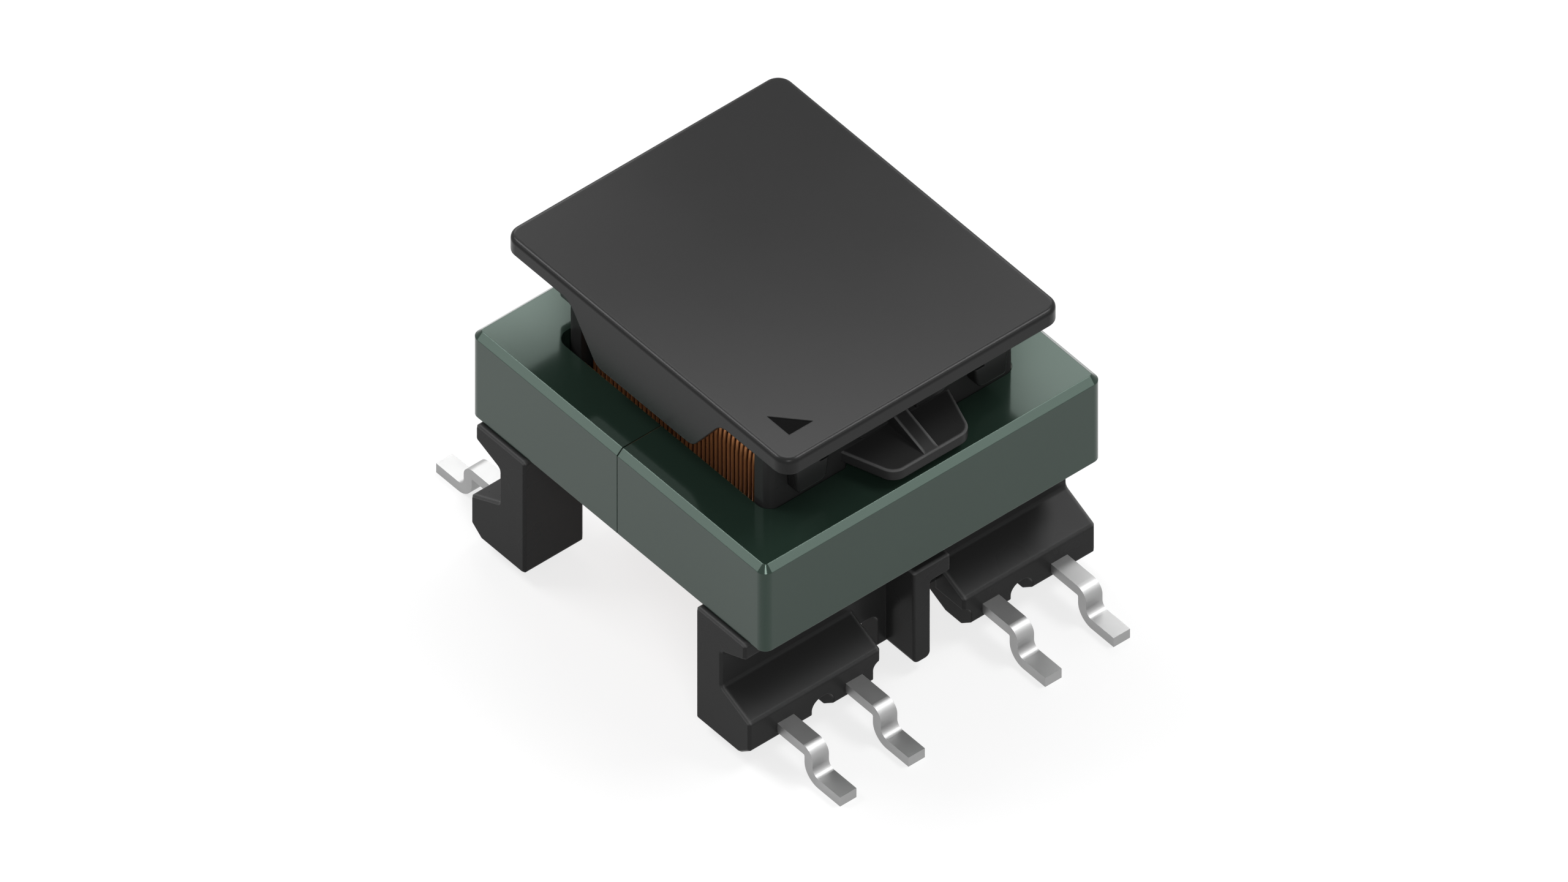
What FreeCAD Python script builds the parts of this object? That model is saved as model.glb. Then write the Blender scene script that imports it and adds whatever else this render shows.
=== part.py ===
import FreeCAD, Part
import math
import os

# Surface-mount transformer on a moulded coil former.
# Two E-shaped ferrite halves are glued together through the former, which carries the windings and
# six bent pins. A moulded cap clips over the flanges and gives a flat face for suction pick-up.
# Millimetres. +X is the way the row of four pins points and +Z is up. The origin is the middle of
# the pin pattern, at the level of the undersides of the solder feet.

Vector = FreeCAD.Vector

cut_overrun = 1.0             # how far a cutting shape reaches past what it cuts

# Pins: flat tinned strip, bent down and out to a solder foot
pin_pitch = 2.5
pin_width = 0.6
pin_thickness = 0.35
pin_reach = 8.8               # middle of the part to the tip of a foot
pin_foot_length = 1.2         # outer face of the upright stretch to the tip
pin_exit_height = 0.87        # underside of the straight stretch above the board
pin_upper_bend = 0.05         # inner radius where the pin turns down
pin_lower_bend = 0.25         # inner radius where the pin turns out to the foot
post_length = 0.63            # bare inner end, where a winding's lead is soldered
front_pin_steps = (-2, -1, 1, 2)
rear_pin_steps = (-2, 2)

# Core: two equal halves, seen from above as a frame with a middle leg
core_shift = 0.15             # the core's middle lies this far forward of the pin pattern's
core_length = 12.79
core_width = 12.38
core_bottom = 4.7
core_height = 3.3
yoke_thickness = 1.76
outer_leg_width = 1.61
centre_leg_width = 3.2
core_corner_radius = 0.3
core_window_radius = 0.45
core_leg_root_radius = 0.2
core_top_chamfer = 0.2
core_bottom_chamfer = 0.1
glue_film = 0.03
glue_inset = 0.06
air_gap = 0.1

# Coil former: a tube with two flanges on a base of blocks
core_to_flange_gap = 0.04
front_flange_side_gap = 0.08  # between the core's outer leg and the edge of the front flange
rear_flange_side_gap = 0.4
flange_thickness = 0.63
flange_top = 10.618
flange_corner_radius = 0.27
leg_clearance = 0.1
tube_wall = 0.45
tube_corner_radius = 0.2

base_bottom = 0.38
base_half_width = 6.33
foot_step = 0.235             # the base's inner faces lie this far inside the tube's ends
wall_thickness = 1.11
shelf_length = 1.23
toe_slant = 0.45
block_toe_top = 0.74
shelf_front_z = 1.78
shelf_back_z = 2.36
overhang_length = 1.03
overhang_root_z = 3.7
overhang_tip_z = 4.12
front_block_inner_y = 1.515
rear_foot_inner_y = 4.14
rear_foot_corner_radius = 0.25
rear_wall_bottom = 2.2
pocket_wall = 0.45            # rear foot: plastic between its inner face and the pocket round the post
pocket_floor = 0.22
pocket_height = 1.35
pocket_clearance = 0.2
block_edge_radius = 0.14
block_low_radius = 0.12
block_end_chamfer = 0.07

channel_middle_y = 3.635      # wire channel under each front block, between its two pins
channel_width = 0.81
channel_top = 1.25
channel_radius = 0.36
slot_inner_y = 0.59           # arched wire slot in the wall beside the middle rib
slot_outer_y = 1.8
slot_top = 1.66
slot_radius = 0.3
block_relief_top = 1.36
block_relief_radius = 0.27
lead_in_length = 1.2          # bevel under the inner end of each front block
lead_in_rise = 0.57

rib_half_width = 0.31
rib_top = 3.91
rib_low_radius = 0.2
rib_edge_radius = 0.08
rib_front_radius = 0.072
hook_bar_depth = 0.64
hook_bar_end_y = 1.03

tongue_core_gap = 0.33
tongue_thickness = 0.35
tongue_middle_y = 0.11
tongue_root_half_width = 1.98
tongue_tip_half_width = 1.4
tongue_setback = 0.145        # the tongue's tip lies this far inside the core's end face
tongue_corner_radius = 0.5
tongue_edge_radius = 0.05
gusset_width = 0.51
gusset_rise = 0.58

lug_inner_y = 2.42
lug_thickness = 0.4
lug_height = 0.45
lug_hook_gap = 0.03

# Windings, measured outwards from the tube
primary_build = 0.8
tape_build = 0.1
wire_pitch = 0.186
secondary_build = 0.85
turn_groove_depth = 0.07
turn_flank = 0.056           # slanted side of a turn's ridge, along X
winding_end_gap = 0.055
tape_overhang = 0.02

# Leads and solder
wire_diameter = 0.16
wire_surface_gap = 0.01
lead_bend = 0.45
lead_short_bend = 0.12
lead_over_post = 0.2
lead_spacing = 0.2            # between the two leads on one side, along X
lead_start_share = 0.6        # of the coil's flat underside, where a front lead leaves it
rear_lead_run = 1.3
lead_groove_width = 0.34
lead_groove_depth = 0.3
rear_lead_y = 1.5
solder_block_gap = 0.1
solder_margin = 0.16
solder_radius = 0.11
solder_end_chamfer = 0.07

# Cap
cap_length = 12.307
cap_width = 10.13
cap_thickness = 0.55
cap_corner_radius = 0.49
cap_edge_radius = 0.15
skirt_thickness = 0.35
skirt_depth = 1.678
skirt_top_half_length = 3.3
skirt_bottom_half_length = 2.1
skirt_root_radius = 0.65
skirt_corner_radius = 0.5
clip_gap = 0.01
clip_thickness = 0.445
clip_outer_y = 4.0
clip_taper = 0.19
clip_inner_y = 3.0
clip_foot_y = 2.66
clip_foot_slant = 0.11
clip_foot_height = 0.78
clip_depth = 2.058
clip_corner_radius = 0.3
clip_heel_radius = 0.12
clip_edge_radius = 0.08
tab_inner_y = 0.51
tab_outer_y = 1.39
tab_depth = 1.358
tab_end_depth = 0.46
mark_tip_x = 5.26             # triangle that marks pin 1
mark_base_x = 4.29
mark_outer_y = 4.19
mark_inner_y = 3.32
mark_depth = 0.03

# Places worked out from the sizes above
core_top = core_bottom + core_height
core_mid_z = core_bottom + core_height / 2
core_front_x = core_shift + core_length / 2
core_rear_x = core_shift - core_length / 2
window_front_x = core_front_x - yoke_thickness
window_rear_x = core_rear_x + yoke_thickness
window_half_y = core_width / 2 - outer_leg_width
flange_front_outer = window_front_x - core_to_flange_gap
flange_front_inner = flange_front_outer - flange_thickness
flange_rear_outer = window_rear_x + core_to_flange_gap
flange_rear_inner = flange_rear_outer + flange_thickness
front_flange_half_y = window_half_y - front_flange_side_gap
rear_flange_half_y = window_half_y - rear_flange_side_gap
opening_half_y = centre_leg_width / 2 + leg_clearance
opening_half_z = core_height / 2 + leg_clearance
tube_half_length = core_length / 2 - yoke_thickness - core_to_flange_gap - flange_thickness
foot_inner_x = tube_half_length - foot_step
wall_outer_x = foot_inner_x + wall_thickness
block_front_x = wall_outer_x + shelf_length
block_toe_x = block_front_x - toe_slant
overhang_x = wall_outer_x + overhang_length
tube_half_y = opening_half_y + tube_wall
tube_half_z = opening_half_z + tube_wall
winding_build = primary_build + tape_build + secondary_build
winding_half_y = tube_half_y + winding_build
winding_half_z = tube_half_z + winding_build
winding_corner_radius = tube_corner_radius + winding_build
tongue_bottom = core_top + tongue_core_gap
tongue_top = tongue_bottom + tongue_thickness
cap_top = flange_top + cap_thickness
clip_inner_x = flange_front_outer + clip_gap
clip_outer_x = clip_inner_x + clip_thickness
pin_exit_top = pin_exit_height + pin_thickness
front_post_end = foot_inner_x - post_length
rear_post_end = foot_inner_x + pocket_wall + solder_margin / 2 + solder_block_gap
tape_end_gap = winding_end_gap - tape_overhang
winding_length = flange_front_inner - flange_rear_inner - 2 * winding_end_gap
secondary_turns = int(winding_length / wire_pitch)


def rounded_corner(before, corner, after, radius):
    """Start, middle and end of the arc of this radius that rounds off a corner."""
    back = (before - corner).normalize()
    ahead = (after - corner).normalize()
    half_angle = back.getAngle(ahead) / 2
    run = radius / math.tan(half_angle)
    bisector = (back + ahead).normalize()
    middle = corner + bisector * (radius / math.sin(half_angle) - radius)
    return corner + back * run, middle, corner + ahead * run


def rounded_edges(points, radii, closed):
    """Straight edges and tangent arcs through the points, each corner with its own radius."""
    count = len(points)
    edges = []
    starts = []
    ends = []
    for index, (corner, radius) in enumerate(zip(points, radii)):
        at_end = not closed and index in (0, count - 1)
        if radius <= 0 or at_end:
            starts.append(corner)
            ends.append(corner)
            continue
        start, middle, end = rounded_corner(points[index - 1], corner, points[(index + 1) % count], radius)
        starts.append(start)
        ends.append(end)
        edges.append((index + 0.5, Part.Arc(start, middle, end).toShape()))
    for index in range(count if closed else count - 1):
        following = (index + 1) % count
        if ends[index].distanceToPoint(starts[following]) > 1e-6:
            edges.append((index + 0.75, Part.makeLine(ends[index], starts[following])))
    return [edge for order, edge in sorted(edges, key=lambda pair: pair[0])]


def slab(axis, low, high, corners):
    """Plate between two planes across an axis, with an outline of (first, second, radius) corners."""
    place = {
        "x": lambda a, b: Vector(low, a, b),
        "y": lambda a, b: Vector(a, low, b),
        "z": lambda a, b: Vector(a, b, low),
    }[axis]
    way = {"x": Vector(1, 0, 0), "y": Vector(0, 1, 0), "z": Vector(0, 0, 1)}[axis]
    points = [place(a, b) for a, b, radius in corners]
    radii = [radius for a, b, radius in corners]
    outline = Part.Wire(rounded_edges(points, radii, closed=True))
    return Part.Face(outline).extrude(way * (high - low))


def block(x_range, y_range, z_range):
    """Plain block between the given limits."""
    size = [limits[1] - limits[0] for limits in (x_range, y_range, z_range)]
    return Part.makeBox(*size, Vector(x_range[0], y_range[0], z_range[0]))


def rectangle(half_a, low_b, high_b, radius):
    """Corners of a rectangle that is centred on the first direction."""
    low = [(-half_a, low_b, radius), (half_a, low_b, radius)]
    return low + [(half_a, high_b, radius), (-half_a, high_b, radius)]


def edges_in_plane(solid, axis, value):
    """The edges of a solid that lie in a plane across an axis (0, 1 or 2)."""
    found = []
    for edge in solid.Edges:
        points = [vertex.Point for vertex in edge.Vertexes] + [edge.CenterOfMass]
        if all(abs(point[axis] - value) < 1e-5 for point in points):
            found.append(edge)
    return found


def mirrored_in_y(shape):
    """The same shape on the other side of the middle plane."""
    return shape.mirror(Vector(0, 0, 0), Vector(0, 1, 0))


def mirrored_in_x(shape, middle):
    """The same shape, turned to face the rear about a plane at the given X."""
    return shape.mirror(Vector(middle, 0, 0), Vector(1, 0, 0))


def core_half(face_x, window_x, end_x):
    """One E-shaped half, with its legs ending at the glue film."""
    way = 1 if end_x > face_x else -1
    film_x = face_x + way * glue_film / 2
    leg_end_x = face_x + way * air_gap / 2
    side = core_width / 2
    centre = centre_leg_width / 2
    outline = [
        (film_x, -side, 0), (end_x, -side, core_corner_radius),
        (end_x, side, core_corner_radius), (film_x, side, 0),
        (film_x, window_half_y, 0), (window_x, window_half_y, core_window_radius),
        (window_x, centre, core_leg_root_radius), (leg_end_x, centre, 0),
        (leg_end_x, -centre, 0), (window_x, -centre, core_leg_root_radius),
        (window_x, -window_half_y, core_window_radius), (film_x, -window_half_y, 0),
    ]
    half = slab("z", core_bottom, core_top, outline)
    for level, chamfer in ((core_top, core_top_chamfer), (core_bottom, core_bottom_chamfer)):
        outer = []
        for edge in edges_in_plane(half, 2, level):
            middle = edge.CenterOfMass
            on_side = abs(middle.y) > side - core_corner_radius
            on_end = way * (middle.x - end_x) > -core_corner_radius
            if on_side or on_end:
                outer.append(edge)
        half = half.makeChamfer(chamfer, outer)
    return half


def glue_joint(way):
    """Film of adhesive between the two outer legs on one side, a little inside their surfaces."""
    y_limits = sorted((way * (window_half_y + glue_inset), way * (core_width / 2 - glue_inset)))
    z_limits = (core_bottom + glue_inset, core_top - core_top_chamfer + glue_inset)
    return block((core_shift - glue_film / 2, core_shift + glue_film / 2), y_limits, z_limits)


def pin(row, step):
    """Bent pin: a straight stretch through its block, an upright and a solder foot."""
    post_end = front_post_end if row > 0 else rear_post_end
    upright_outer = pin_reach - pin_foot_length
    upright_inner = upright_outer - pin_thickness
    outline = [
        (post_end, pin_exit_top, 0),
        (upright_outer, pin_exit_top, pin_upper_bend + pin_thickness),
        (upright_outer, pin_thickness, pin_lower_bend),
        (pin_reach, pin_thickness, 0),
        (pin_reach, 0, 0),
        (upright_inner, 0, pin_lower_bend + pin_thickness),
        (upright_inner, pin_exit_height, pin_upper_bend),
        (post_end, pin_exit_height, 0),
    ]
    middle = step * pin_pitch
    shape = slab("y", middle - pin_width / 2, middle + pin_width / 2, outline)
    return shape if row > 0 else mirrored_in_x(shape, 0)


def base_block(inner_y):
    """Block that holds pins on the +Y side of the front row, with rounded edges and chamfered ends."""
    edge = block_edge_radius
    low_edge = block_low_radius
    outline = [
        (foot_inner_x, base_bottom, low_edge), (block_toe_x, base_bottom, low_edge),
        (block_front_x, block_toe_top, low_edge), (block_front_x, shelf_front_z, edge),
        (wall_outer_x, shelf_back_z, edge), (wall_outer_x, overhang_root_z, edge),
        (overhang_x, overhang_tip_z, edge), (overhang_x, core_bottom, edge),
        (foot_inner_x, core_bottom, edge),
    ]
    shape = slab("y", inner_y, base_half_width, outline)
    ends = edges_in_plane(shape, 1, inner_y) + edges_in_plane(shape, 1, base_half_width)
    return shape.makeChamfer(block_end_chamfer, ends)


def arch(middle_y, width, top, radius, x_range):
    """Tool that cuts an arched channel, open at the bottom, along X."""
    low = middle_y - width / 2
    high = middle_y + width / 2
    outline = [(low, -1, 0), (high, -1, 0), (high, top, radius), (low, top, radius)]
    return slab("x", x_range[0], x_range[1], outline)


def front_base():
    """Two blocks with a wall between them, a middle rib and its wire hook."""
    right = base_block(front_block_inner_y)
    past_front = block_front_x + cut_overrun
    behind_wall = foot_inner_x - cut_overrun
    channel = (channel_middle_y, channel_width, channel_top, channel_radius)
    right = right.cut(arch(*channel, (behind_wall, past_front)))
    relief_width = 2 * (slot_outer_y - front_block_inner_y)
    relief = (front_block_inner_y, relief_width, block_relief_top, block_relief_radius)
    right = right.cut(arch(*relief, (behind_wall, past_front)))
    blocks = right.fuse(mirrored_in_y(right))

    edge = block_edge_radius
    wall_profile = [
        (foot_inner_x, base_bottom, block_low_radius), (wall_outer_x, base_bottom, block_low_radius),
        (wall_outer_x, core_bottom, edge), (foot_inner_x, core_bottom, edge),
    ]
    wall_half = front_block_inner_y + 2 * edge
    wall = slab("y", -wall_half, wall_half, wall_profile)
    slot_width = slot_outer_y - slot_inner_y
    slot_middle = (slot_inner_y + slot_outer_y) / 2
    slot = arch(slot_middle, slot_width, slot_top, slot_radius, (behind_wall, wall_outer_x))
    lead_in_front = foot_inner_x + lead_in_length
    bevel_outline = [
        (lead_in_front, 0, 0), (lead_in_front, base_bottom, 0),
        (foot_inner_x, base_bottom + lead_in_rise, 0), (behind_wall, base_bottom + lead_in_rise, 0),
        (behind_wall, 0, 0),
    ]
    bevel = slab("y", slot_inner_y, channel_middle_y - channel_width / 2 - pin_width, bevel_outline)
    tools = slot.fuse(bevel)
    base = blocks.fuse(wall).cut(tools).cut(mirrored_in_y(tools))

    low_edge = rib_edge_radius
    bar_bottom = rib_top - hook_bar_depth
    rib_outline = [
        (-rib_half_width, base_bottom, rib_low_radius), (rib_half_width, base_bottom, rib_low_radius),
        (rib_half_width, bar_bottom, low_edge), (hook_bar_end_y, bar_bottom, low_edge),
        (hook_bar_end_y, rib_top, low_edge), (-rib_half_width, rib_top, low_edge),
    ]
    rib = slab("x", wall_outer_x - edge, block_front_x, rib_outline)
    rib = rib.makeFillet(rib_front_radius, edges_in_plane(rib, 0, block_front_x))
    return base.fuse(rib)


def rear_base():
    """Two feet with a wall between them; a pocket in each foot, open inwards, holds the post of its pin."""
    foot = base_block(rear_foot_inner_y)
    low_corner = rear_foot_corner_radius
    past_front = block_front_x + cut_overrun
    beside_foot = rear_foot_inner_y - cut_overrun
    cutter = block((0, past_front), (beside_foot, rear_foot_inner_y + low_corner),
                   (0, base_bottom + low_corner))
    keeper = Part.makeCylinder(low_corner, past_front,
                               Vector(0, rear_foot_inner_y + low_corner, base_bottom + low_corner),
                               Vector(1, 0, 0))
    pocket_x = foot_inner_x + pocket_wall
    pocket_bottom = base_bottom + pocket_floor
    pocket_end_y = abs(rear_pin_steps[0]) * pin_pitch + pin_width / 2 + pocket_clearance
    pocket = block((pocket_x, rear_post_end + post_length), (beside_foot, pocket_end_y),
                   (pocket_bottom, pocket_bottom + pocket_height))
    foot = foot.cut(cutter.cut(keeper)).cut(pocket)
    feet = foot.fuse(mirrored_in_y(foot))
    wall_half = rear_foot_inner_y + 2 * block_edge_radius
    wall = block((foot_inner_x, wall_outer_x), (-wall_half, wall_half), (rear_wall_bottom, core_bottom))
    return mirrored_in_x(feet.fuse(wall), 0)


def flange(half_y, inner_x, outer_x):
    """Cheek of the former, from the base up to the underside of the cap."""
    edge = flange_corner_radius
    outline = [(inner_x, -half_y, 0), (outer_x, -half_y, edge), (outer_x, half_y, edge), (inner_x, half_y, 0)]
    return slab("z", rear_wall_bottom, flange_top, outline)


def tongue():
    """Flat tongue with a gusset, which reaches out over the front yoke."""
    root_x = flange_front_outer - flange_thickness / 2
    tip_x = core_front_x - tongue_setback
    low_root = tongue_middle_y - tongue_root_half_width
    high_root = tongue_middle_y + tongue_root_half_width
    low_tip = tongue_middle_y - tongue_tip_half_width
    high_tip = tongue_middle_y + tongue_tip_half_width
    outline = [
        (root_x, low_root, 0), (flange_front_outer, low_root, 0),
        (tip_x, low_tip, tongue_corner_radius), (tip_x, high_tip, tongue_corner_radius),
        (flange_front_outer, high_root, 0), (root_x, high_root, 0),
    ]
    plate = slab("z", tongue_bottom, tongue_top, outline)
    rim = [edge for edge in edges_in_plane(plate, 2, tongue_top) if edge.CenterOfMass.x > flange_front_outer]
    plate = plate.makeFillet(tongue_edge_radius, rim)
    slope = gusset_rise / (tip_x - flange_front_outer)
    foot_x = tip_x - tongue_edge_radius
    gusset_outline = [
        (root_x, tongue_bottom + tongue_edge_radius, 0), (foot_x, tongue_bottom + tongue_edge_radius, 0),
        (foot_x, tongue_top, 0), (root_x, tongue_top + slope * (foot_x - root_x), 0),
    ]
    gusset_low = tongue_middle_y - gusset_width / 2
    return plate.fuse(slab("y", gusset_low, gusset_low + gusset_width, gusset_outline))


def clip_lug():
    """Lug on the front flange that one foot of the cap's clips catches under."""
    bottom = flange_top - clip_depth + clip_foot_height + lug_hook_gap
    outer_y = clip_inner_y - lug_hook_gap
    root_x = flange_front_outer - flange_thickness / 2
    return block((root_x, flange_front_outer + lug_thickness), (lug_inner_y, outer_y),
                 (bottom, bottom + lug_height))


def coil_former(pins):
    """The whole moulding: base, flanges, tube and tongues, with the pins moulded in."""
    clear_y = rear_foot_inner_y
    winding_room = block((flange_rear_inner, flange_front_inner), (-clear_y, clear_y),
                         (0, flange_top + cut_overrun))
    base = front_base().fuse(rear_base()).cut(winding_room)
    front = flange(front_flange_half_y, flange_front_inner, flange_front_outer)
    rear = flange(rear_flange_half_y, flange_rear_inner, flange_rear_outer)
    outer = rectangle(tube_half_y, core_mid_z - tube_half_z, core_mid_z + tube_half_z, tube_corner_radius)
    tube = slab("x", flange_rear_outer, flange_front_outer, outer)
    lugs = clip_lug().fuse(mirrored_in_y(clip_lug()))
    front_fittings = tongue().fuse(lugs)
    shape = base.multiFuse([front, rear, tube, front_fittings, mirrored_in_x(tongue(), core_shift)])
    opening = block((flange_rear_outer - cut_overrun, flange_front_outer + cut_overrun),
                    (-opening_half_y, opening_half_y),
                    (core_mid_z - opening_half_z, core_mid_z + opening_half_z))
    shape = shape.cut(opening)
    groove_top = core_mid_z - tube_half_z
    for way in (-1, 1):
        middle = way * rear_lead_y
        groove = block((flange_rear_inner - lead_groove_depth, flange_rear_inner + cut_overrun),
                       (middle - lead_groove_width / 2, middle + lead_groove_width / 2),
                       (rear_wall_bottom - cut_overrun, groove_top))
        shape = shape.cut(groove)
    for one in pins:
        shape = shape.cut(one)
    return shape.removeSplitter()


def winding_outline(build):
    """Rounded rectangle round the tube at a given build, as outline corners across X."""
    half_z = tube_half_z + build
    radius = tube_corner_radius + build
    return rectangle(tube_half_y + build, core_mid_z - half_z, core_mid_z + half_z, radius)


def winding_layer(inner_build, outer_build, end_gap):
    """Plain ring of wire or tape between two builds."""
    low = flange_rear_inner + end_gap
    high = flange_front_inner - end_gap
    ring = slab("x", low, high, winding_outline(outer_build))
    return ring.cut(slab("x", low - cut_overrun, high + cut_overrun, winding_outline(inner_build)))


def outer_winding():
    """Outer winding as one solid: a ring with a ridge for each turn of wire, side by side."""
    inner = primary_build + tape_build
    crest = inner + secondary_build
    valley = crest - turn_groove_depth
    middle = (flange_front_inner + flange_rear_inner) / 2
    start = middle - secondary_turns * wire_pitch / 2
    height = core_mid_z + tube_half_z
    points = [Vector(start, 0, height + inner)]
    for turn in range(secondary_turns):
        left = start + turn * wire_pitch
        points.append(Vector(left, 0, height + valley))
        points.append(Vector(left + turn_flank, 0, height + crest))
        points.append(Vector(left + wire_pitch - turn_flank, 0, height + crest))
    points.append(Vector(start + secondary_turns * wire_pitch, 0, height + valley))
    points.append(Vector(start + secondary_turns * wire_pitch, 0, height + inner))
    section = Part.Face(Part.makePolygon(points + [points[0]]))
    half_y = tube_half_y + crest
    half_z = tube_half_z + crest
    path_corners = [
        Vector(start, 0, core_mid_z + half_z), Vector(start, half_y, core_mid_z + half_z),
        Vector(start, half_y, core_mid_z - half_z), Vector(start, -half_y, core_mid_z - half_z),
        Vector(start, -half_y, core_mid_z + half_z),
    ]
    radii = [0] + [tube_corner_radius + crest] * 4
    path = Part.Wire(rounded_edges(path_corners, radii, closed=True))
    return path.makePipe(section)


def wire_along(points, radii):
    """Round wire along straight runs joined by tangent arcs."""
    path = Part.Wire(rounded_edges(points, radii, closed=False))
    way = points[1] - points[0]
    section = Part.Face(Part.Wire(Part.makeCircle(wire_diameter / 2, points[0], way)))
    return path.makePipe(section)


def post_middle(post_end):
    """Middle of a pin's bare inner end, between the two leads' places."""
    return post_end + (post_length - solder_block_gap) / 2


def front_lead(step):
    """Lead from the underside of the outer winding to the inner end of a front pin."""
    way = 1 if step > 0 else -1
    aside = lead_spacing / 2 if abs(step) == 1 else -lead_spacing / 2
    pin_y = abs(step) * pin_pitch
    start_y = (winding_half_y - winding_corner_radius) * lead_start_share
    low_z = core_mid_z - winding_half_z - wire_diameter / 2 - wire_surface_gap
    points = [(start_y, low_z), (pin_y, low_z), (pin_y, pin_exit_top + wire_surface_gap)]
    lead_x = post_middle(front_post_end) + aside
    return wire_along([Vector(lead_x, way * y, z) for y, z in points], [0, lead_bend, 0])


def rear_lead(step):
    """Lead from the inner winding, down the groove in the rear flange, to the pocket of a rear pin."""
    way = 1 if step > 0 else -1
    inner_end_x = flange_rear_inner + winding_end_gap
    groove_x = flange_rear_inner - lead_groove_depth + wire_diameter / 2 + wire_surface_gap
    start_z = core_mid_z - tube_half_z - primary_build / 2
    over_pin = pin_exit_top + wire_diameter / 2 + wire_surface_gap
    pin_y = abs(step) * pin_pitch
    end_x = -post_middle(rear_post_end)
    points = [
        Vector(inner_end_x, way * rear_lead_y, start_z),
        Vector(groove_x, way * rear_lead_y, start_z),
        Vector(groove_x, way * rear_lead_y, over_pin),
        Vector(end_x, way * (rear_lead_y + rear_lead_run), over_pin),
        Vector(end_x, way * (pin_y + lead_over_post), over_pin),
    ]
    return wire_along(points, [0, lead_short_bend, lead_bend / 2, lead_bend, 0])


def solder_joint(row, step, pin_shape, lead):
    """Rounded drop of solder round the inner end of a pin and the end of its lead."""
    middle = step * pin_pitch
    half_y = pin_width / 2 + solder_margin
    low_z = pin_exit_height - solder_margin
    high_z = pin_exit_top + wire_diameter + solder_margin / 2
    post_end = front_post_end if row > 0 else rear_post_end
    low_x = post_end - solder_margin / 2
    high_x = post_end + post_length - solder_block_gap
    outline = [
        (middle - half_y, low_z, solder_radius), (middle + half_y, low_z, solder_radius),
        (middle + half_y, high_z, solder_radius), (middle - half_y, high_z, solder_radius),
    ]
    drop = slab("x", low_x, high_x, outline)
    ends = edges_in_plane(drop, 0, low_x) + edges_in_plane(drop, 0, high_x)
    drop = drop.makeChamfer(solder_end_chamfer, ends)
    if row < 0:
        drop = mirrored_in_x(drop, 0)
    return drop.cut(pin_shape).cut(lead)


def cap_skirt():
    """Trapezoid skirt that hangs from the cap's +Y side, flush with its edge."""
    inside = flange_top + cap_thickness / 3
    strip = skirt_top_half_length + 2 * skirt_root_radius
    bottom = flange_top - skirt_depth
    outline = [
        (-strip, inside, 0), (-strip, flange_top, 0),
        (-skirt_top_half_length, flange_top, skirt_root_radius),
        (-skirt_bottom_half_length, bottom, skirt_corner_radius),
        (skirt_bottom_half_length, bottom, skirt_corner_radius),
        (skirt_top_half_length, flange_top, skirt_root_radius),
        (strip, flange_top, 0), (strip, inside, 0),
    ]
    return slab("y", cap_width / 2 - skirt_thickness, cap_width / 2, outline)


def cap_clip():
    """Clip at the front +Y corner: an arm outside the flange with a foot turned inwards."""
    inside = flange_top + cap_thickness / 3
    bottom = flange_top - clip_depth
    foot_top = bottom + clip_foot_height
    toe_y = clip_foot_y + clip_foot_slant
    outline = [
        (clip_inner_y, inside, 0), (clip_inner_y, foot_top, 0), (clip_foot_y, foot_top, 0),
        (toe_y, bottom, clip_corner_radius), (clip_outer_y - clip_taper, bottom, clip_heel_radius),
        (clip_outer_y, flange_top, 0), (clip_outer_y, inside, 0),
    ]
    shape = slab("x", clip_inner_x, clip_outer_x, outline)
    rim = []
    for edge in edges_in_plane(shape, 0, clip_outer_x):
        middle = edge.CenterOfMass
        on_foot = middle.z < foot_top and middle.y > toe_y
        on_back = middle.z < flange_top and middle.y > clip_inner_y + clip_edge_radius
        if on_foot or on_back:
            rim.append(edge)
    return shape.makeFillet(clip_edge_radius, rim)


def cap_tab():
    """Tab beside the gusset that steadies the cap against the flange, sloping up to the clip."""
    inside = flange_top + cap_thickness / 3
    bottom = flange_top - tab_depth
    outline = [
        (tab_inner_y, inside, 0), (tab_inner_y, bottom, 0), (tab_outer_y, bottom, 0),
        (clip_inner_y, flange_top - tab_end_depth, 0), (clip_inner_y, inside, 0),
    ]
    return slab("x", clip_inner_x, clip_outer_x, outline)


def cover_cap():
    """Flat cap with two skirts, four clips, four tabs and the triangle that marks pin 1."""
    plan = rectangle(cap_length / 2, -cap_width / 2, cap_width / 2, cap_corner_radius)
    plate = slab("z", flange_top, cap_top, plan)
    plate = plate.makeFillet(cap_edge_radius, edges_in_plane(plate, 2, cap_top))
    fittings = []
    for shape in (cap_clip(), cap_tab()):
        for one in (shape, mirrored_in_y(shape)):
            fittings += [one, mirrored_in_x(one, 0)]
    fittings += [cap_skirt(), mirrored_in_y(cap_skirt())]
    cap = plate.multiFuse(fittings)
    mark = [(mark_tip_x, -mark_outer_y, 0), (mark_tip_x, -mark_inner_y, 0), (mark_base_x, -mark_outer_y, 0)]
    return cap.cut(slab("z", cap_top - mark_depth, cap_top + cut_overrun, mark)).removeSplitter()


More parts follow.
